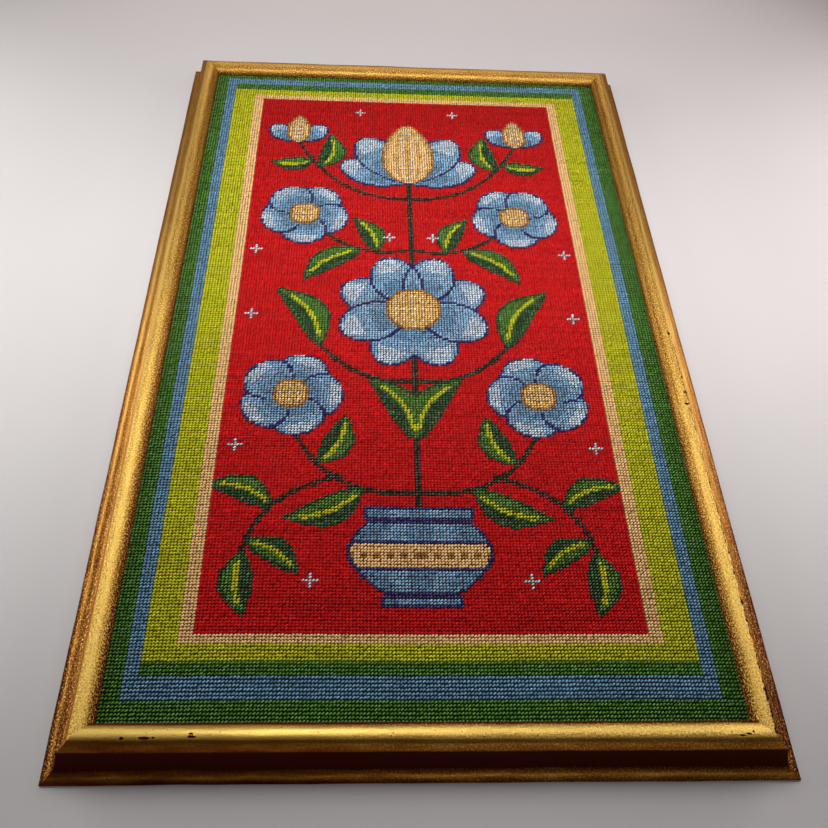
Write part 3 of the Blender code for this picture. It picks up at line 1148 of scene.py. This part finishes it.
def dent(piece, depth, draw):
    """Makes a rail as slightly uneven as old hand-finished wood."""
    mesh = piece.data
    points = points_of(mesh)
    normals = np.empty(len(mesh.vertices) * 3)
    mesh.vertices.foreach_get("normal", normals)
    swell = np.zeros(len(points))
    for _ in range(14):
        wave = draw.normal(0, 1, 3) * (90, 260, 260)
        swell += np.sin(points @ wave + draw.uniform(0, 2 * math.pi))
    set_points(mesh, points + normals.reshape(-1, 3) * (swell * depth / 4)[:, None])


def slide_map(piece, number):
    """Moves a rail's map along, so that no two rails are worn alike."""
    lay = piece.data.uv_layers["moulding"]
    places = np.empty(len(piece.data.loops) * 2)
    lay.data.foreach_get("uv", places)
    places[0::2] += RAIL_LENGTH * number
    lay.data.foreach_set("uv", places)


# Operators


class NEEDLEPOINT_OT_canvas(bpy.types.Operator):
    """Make the canvas and stitch the panel on it"""

    bl_idname = "needlepoint.canvas"
    bl_label = "Stitched canvas"

    def execute(self, context):
        settings = context.scene.needlepoint_yarns
        chart = canvas_chart()
        if chart.shape[0] % BANDS:
            raise RuntimeError("The rows do not fill the bands evenly")
        wool = wool_material(settings.rise)
        draw = np.random.default_rng(settings.seed)
        for number in range(BANDS):
            band = stitch_band(number, chart, settings, draw)
            belongs(band, wool, "wool_needlepoint")
        canvas = model_canvas()
        belongs(canvas, canvas_material(settings), "wool_needlepoint", "needlepoint_panel")
        return {"FINISHED"}


class NEEDLEPOINT_OT_frame(bpy.types.Operator):
    """Make the four mitred rails of the gilt frame"""

    bl_idname = "needlepoint.frame"
    bl_label = "Gilt frame"

    def execute(self, context):
        settings = context.scene.needlepoint_gilding
        section = moulding_section()
        gilding = gilt_material(settings)
        draw = np.random.default_rng(DENT_SEED)
        places = ((0, HALF_HIGH), (-HALF_WIDE, 0), (0, -HALF_HIGH), (HALF_WIDE, 0))
        for number, (node, place) in enumerate(zip(RAIL_NODES, places)):
            half_sight = HALF_WIDE if place[0] == 0 else HALF_HIGH
            rail = model_rail("gilt_" + node.split("_")[-1], half_sight, section, settings)
            slide_map(rail, number)
            dent(rail, settings.dents, draw)
            rail.location = (*place, 0)
            rail.rotation_euler.z = number * math.pi / 2
            bpy.ops.object.transform_apply(location=True, rotation=True, scale=False)
            bpy.ops.object.shade_smooth_by_angle(angle=SMOOTH_BELOW)
            belongs(rail, gilding, "gilt_moulding", node)
        return {"FINISHED"}


class NEEDLEPOINT_OT_studio(bpy.types.Operator):
    """Make the pale floor, the soft lights and the camera"""

    bl_idname = "needlepoint.studio"
    bl_label = "Studio"

    def execute(self, context):
        settings = context.scene.needlepoint_studio
        deselect_all()
        bpy.ops.mesh.primitive_plane_add(size=6)
        floor = context.object
        floor.name = "studio_floor"
        paper, tree, shader = new_material("pale_paper", 0.75)
        place = add(tree, "ShaderNodeTexCoord").outputs["Object"]
        clouds = noise(tree, place, 6.0)
        tone = blend_color(tree, clouds, [0.94 * part for part in settings.floor], settings.floor)
        tree.links.new(tone, shader.inputs["Base Color"])
        floor.data.materials.append(paper)
        for light in LIGHTS:
            place_light(light, getattr(settings, light.power))
        set_world(settings.surround)
        place_camera(settings.lens)
        context.scene.view_settings.view_transform = "Standard"
        return {"FINISHED"}


def place_light(soft, power):
    """Adds a soft rectangular light that faces a point."""
    light = bpy.data.lights.new(soft.name, "AREA")
    light.shape = "RECTANGLE"
    light.size, light.size_y = soft.size
    light.energy = power
    light.color = soft.tint
    light.spread = math.radians(soft.spread)
    lamp = bpy.data.objects.new(soft.name, light)
    lamp.location = soft.place
    heading = Vector(soft.aim) - Vector(soft.place)
    lamp.rotation_euler = heading.to_track_quat("-Z", "Y").to_euler()
    bpy.context.scene.collection.objects.link(lamp)


def set_world(strength):
    """Lights the scene evenly from all round."""
    world = bpy.data.worlds.new("studio_surround")
    world.use_nodes = True
    background = world.node_tree.nodes["Background"]
    background.inputs["Color"].default_value = (1.0, 0.97, 0.94, 1)
    background.inputs["Strength"].default_value = strength
    bpy.context.scene.world = world


def place_camera(lens):
    """Adds the camera where the photograph was taken from."""
    camera = bpy.data.cameras.new("camera")
    camera.lens = lens
    camera.sensor_width = 36
    camera.shift_x, camera.shift_y = CAMERA_SHIFT
    holder = bpy.data.objects.new("camera", camera)
    heading = Matrix.Rotation(-CAMERA_HEADING, 4, "Z")
    down = Matrix.Rotation(math.pi / 2 - CAMERA_DOWN, 4, "X")
    roll = Matrix.Rotation(CAMERA_ROLL, 4, "Z")
    holder.matrix_world = Matrix.Translation(CAMERA_PLACE) @ heading @ down @ roll
    bpy.context.scene.collection.objects.link(holder)
    bpy.context.scene.camera = holder


class NEEDLEPOINT_PT_panel(bpy.types.Panel):
    """Lists the steps and their settings"""

    bl_label = "Needlepoint"
    bl_idname = "NEEDLEPOINT_PT_panel"
    bl_space_type = "VIEW_3D"
    bl_region_type = "UI"
    bl_category = "Needlepoint"

    def draw(self, context):
        layout = self.layout
        for group, operator in STEPS:
            box = layout.box()
            settings = getattr(context.scene, group)
            for name in settings.bl_rna.properties.keys():
                if name not in ("rna_type", "name"):
                    box.prop(settings, name)
            box.operator(operator)


STEPS = (
    ("needlepoint_studio", "needlepoint.studio"),
    ("needlepoint_yarns", "needlepoint.canvas"),
    ("needlepoint_gilding", "needlepoint.frame"),
)
GROUPS = (
    ("needlepoint_studio", NeedlepointStudio),
    ("needlepoint_yarns", NeedlepointYarns),
    ("needlepoint_gilding", NeedlepointGilding),
)
CLASSES = (
    NeedlepointStudio,
    NeedlepointYarns,
    NeedlepointGilding,
    NEEDLEPOINT_OT_studio,
    NEEDLEPOINT_OT_canvas,
    NEEDLEPOINT_OT_frame,
    NEEDLEPOINT_PT_panel,
)


def register():
    """Registers the classes and gives the scene their settings."""
    for item in CLASSES:
        bpy.utils.register_class(item)
    for name, group in GROUPS:
        setattr(bpy.types.Scene, name, PointerProperty(type=group))


def unregister():
    """Takes the settings and the classes away again."""
    for name, _ in GROUPS:
        delattr(bpy.types.Scene, name)
    for item in reversed(CLASSES):
        bpy.utils.unregister_class(item)


def main():
    """Builds the framed panel and its studio."""
    register()
    bpy.ops.needlepoint.studio()
    bpy.ops.needlepoint.canvas()
    bpy.ops.needlepoint.frame()


if __name__ == "__main__":
    main()
